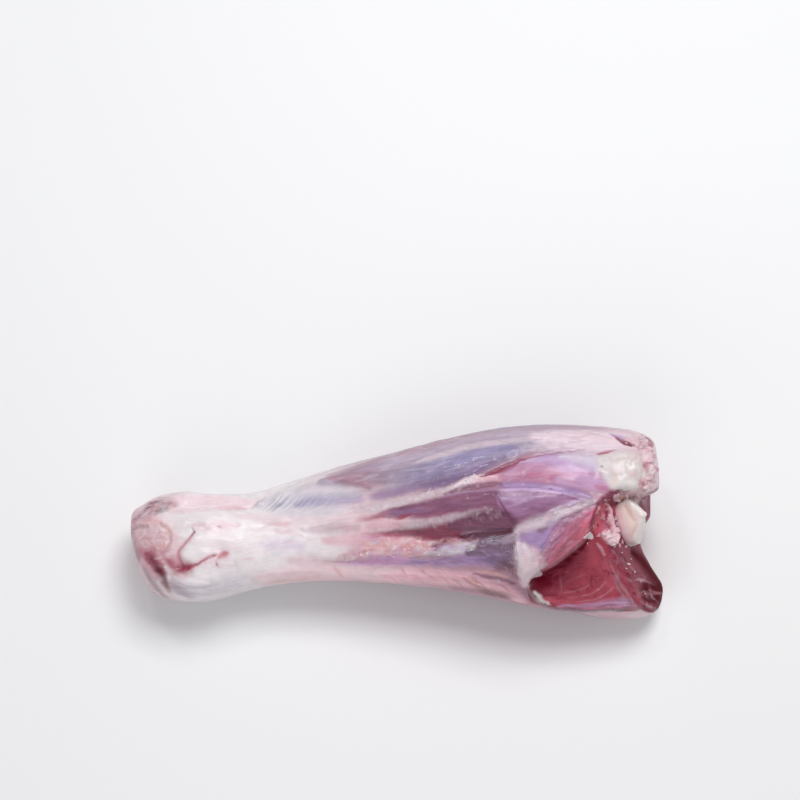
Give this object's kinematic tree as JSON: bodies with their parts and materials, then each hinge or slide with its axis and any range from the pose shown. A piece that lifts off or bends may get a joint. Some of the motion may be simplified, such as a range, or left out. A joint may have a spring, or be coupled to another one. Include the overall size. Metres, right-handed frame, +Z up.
{
  "type": "raw lamb shank",
  "caption": "Raw lamb shank: a tapered leg cut with seamed muscles, a pale ankle knuckle, and a cut end that bares red meat and the joint's cartilage.",
  "frame": {"origin": "on the floor under the middle of the shank's box", "axes": "+X from the ankle knuckle to the cut joint end, +Y from the shin side to the calf side, +Z up as it lies"},
  "size_m": [0.2106, 0.0744, 0.056],
  "materials": {
    "meat": "moist muscle under silverskin and pale fat",
    "bone": "smooth wet cartilage over bone"
  },
  "bodies": {
    "root": {"shank_meat": "meat", "shank_bone": "bone"}
  },
  "joints": []
}
